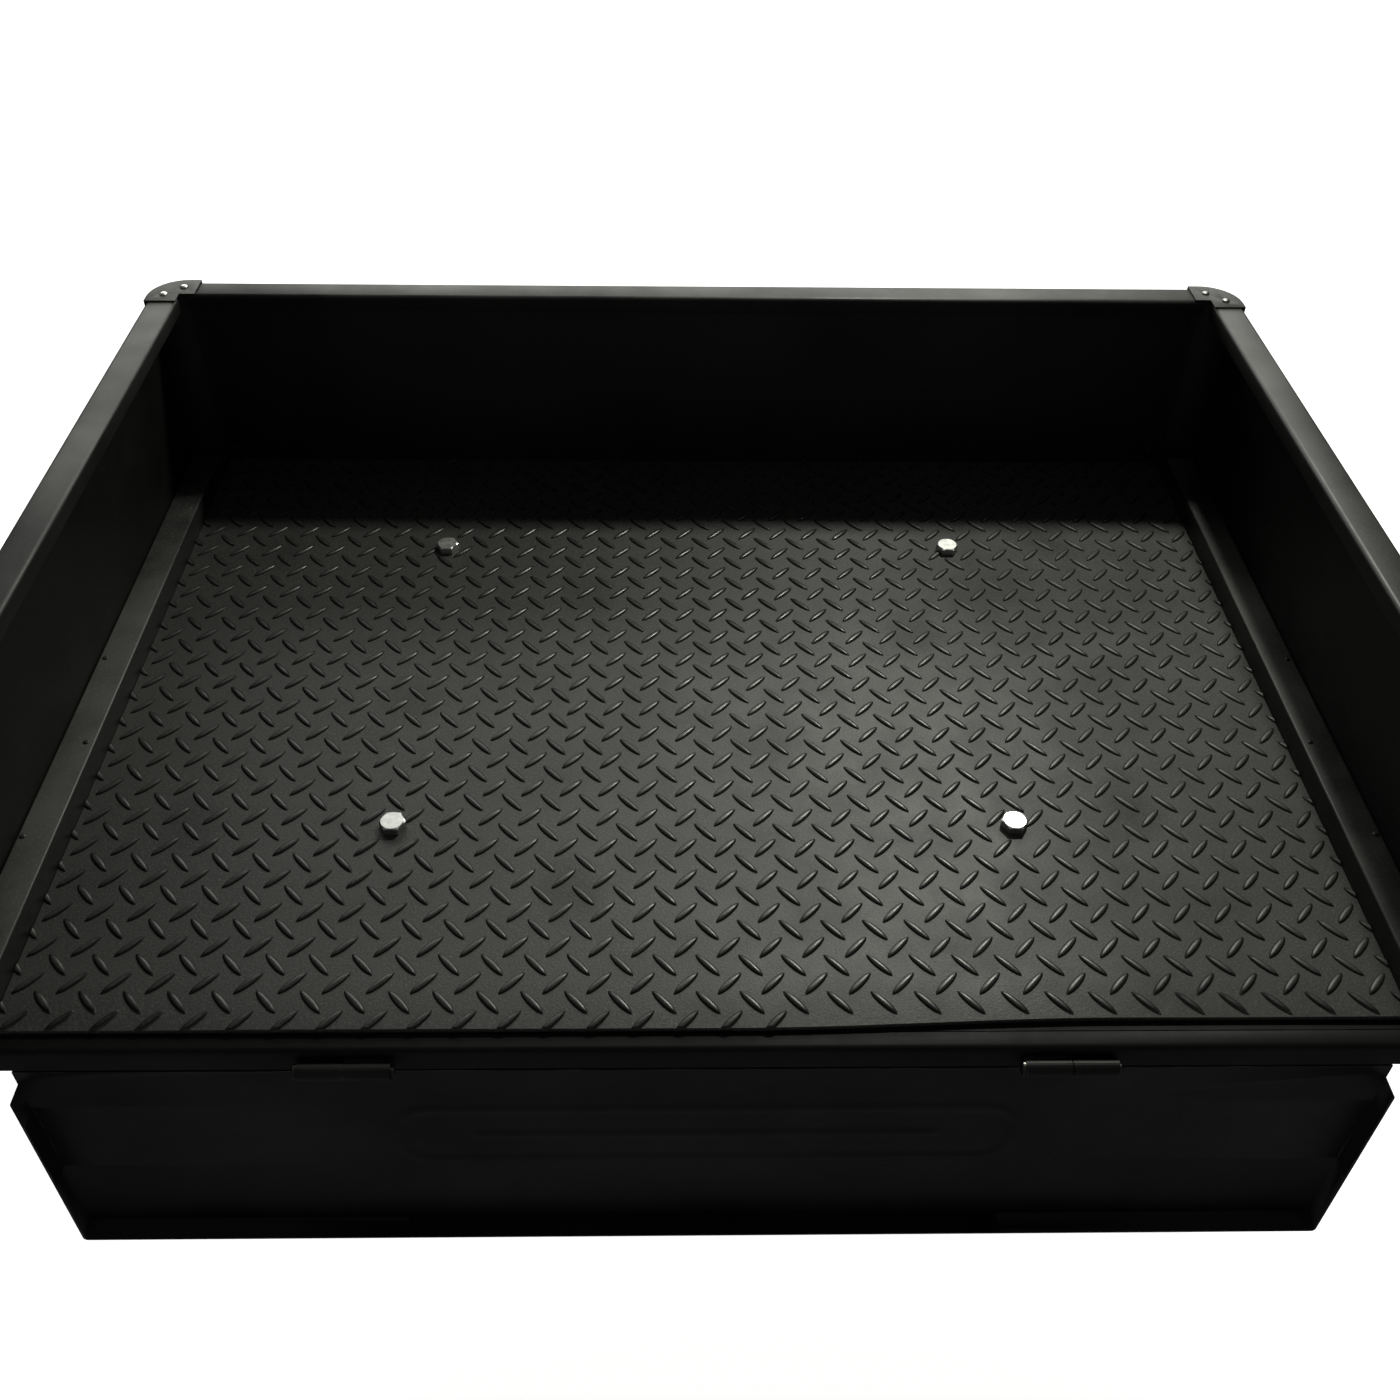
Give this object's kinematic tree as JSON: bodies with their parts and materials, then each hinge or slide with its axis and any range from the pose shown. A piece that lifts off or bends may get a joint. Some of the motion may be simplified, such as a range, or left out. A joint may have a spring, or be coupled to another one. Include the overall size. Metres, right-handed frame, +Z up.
{
  "type": "hitch cargo carrier",
  "caption": "Open steel cargo box with a ribbed rubber floor mat and a drop-down tailgate, bolted to cross beams on a square hitch shank.",
  "frame": {"origin": "on the underside of the hitch shank, straight below the axis of the hitch pin", "axes": "+Z up, +Y along the shank towards the towing vehicle, +X to the right for someone facing the vehicle"},
  "size_m": [0.9576, 1.0115, 0.3931],
  "materials": {
    "powder_coat": "semi-gloss black powder coat on sheet steel",
    "rubber_mat": "moulded black rubber with raised diamond tread",
    "zinc_hardware": "bright zinc plate",
    "black_plastic": "moulded black polyethylene"
  },
  "bodies": {
    "carrier": {"corner_cap_left": "powder_coat", "corner_cap_right": "powder_coat", "corner_rivet_left_1": "zinc_hardware", "corner_rivet_left_2": "zinc_hardware", "corner_rivet_right_1": "zinc_hardware", "corner_rivet_right_2": "zinc_hardware", "floor_bolt_front_left": "zinc_hardware", "floor_bolt_front_right": "zinc_hardware", "floor_bolt_rear_left": "zinc_hardware", "floor_bolt_rear_right": "zinc_hardware", "floor_ledge_left": "powder_coat", "floor_ledge_right": "powder_coat", "floor_mat": "rubber_mat", "floor_nut_front_left": "zinc_hardware", "floor_nut_front_right": "zinc_hardware", "floor_nut_rear_left": "zinc_hardware", "floor_nut_rear_right": "zinc_hardware", "floor_pan": "powder_coat", "floor_washer_front_left": "zinc_hardware", "floor_washer_front_right": "zinc_hardware", "floor_washer_rear_left": "zinc_hardware", "floor_washer_rear_right": "zinc_hardware", "front_beam": "powder_coat", "front_beam_plug_left": "black_plastic", "front_beam_plug_right": "black_plastic", "front_panel": "powder_coat", "gate_bolt_keeper_left": "powder_coat", "gate_bolt_keeper_right": "powder_coat", "hinge_pin_left": "zinc_hardware", "hinge_pin_right": "zinc_hardware", "hinge_sill_leaf_left": "powder_coat", "hinge_sill_leaf_right": "powder_coat", "hitch_shank": "powder_coat", "rear_beam": "powder_coat", "rear_beam_plug_left": "black_plastic", "rear_beam_plug_right": "black_plastic", "rear_post_left": "powder_coat", "rear_post_right": "powder_coat", "rear_sill": "powder_coat", "rim_end_cap_left": "black_plastic", "rim_end_cap_right": "black_plastic", "rim_rail_front": "powder_coat", "rim_rail_left": "powder_coat", "rim_rail_right": "powder_coat", "side_panel_left": "powder_coat", "side_panel_right": "powder_coat"},
    "tailgate": {"tailgate_panel": "powder_coat", "hinge_gate_leaf_left": "powder_coat", "hinge_gate_leaf_right": "powder_coat", "gate_bolt_guide_left": "powder_coat", "gate_bolt_guide_right": "powder_coat"},
    "gate_bolt_left": {"gate_bolt_left": "zinc_hardware"},
    "gate_bolt_right": {"gate_bolt_right": "zinc_hardware"},
    "hitch_pin": {"hitch_pin": "zinc_hardware"},
    "hitch_pin_clip": {"hitch_pin_clip": "zinc_hardware"}
  },
  "joints": [
    {"name": "tailgate_hinge", "type": "hinge", "parent": "carrier", "child": "tailgate", "pos_m": [0, -0.9175, 0.0817], "axis": [-1, 0, 0], "range_deg": [0, 180]},
    {"name": "gate_bolt_left_slide", "type": "slide", "parent": "tailgate", "child": "gate_bolt_left", "axis": [-1, 0, 0], "range_m": [0, 0.022]},
    {"name": "gate_bolt_right_slide", "type": "slide", "parent": "tailgate", "child": "gate_bolt_right", "axis": [1, 0, 0], "range_m": [0, 0.022]},
    {"name": "hitch_pin_slide", "type": "slide", "parent": "carrier", "child": "hitch_pin", "axis": [-1, 0, 0], "range_m": [0, 0.012]},
    {"name": "hitch_pin_clip_pull", "type": "slide", "parent": "hitch_pin", "child": "hitch_pin_clip", "axis": [0, 0, 1], "range_m": [0, 0.045]}
  ]
}
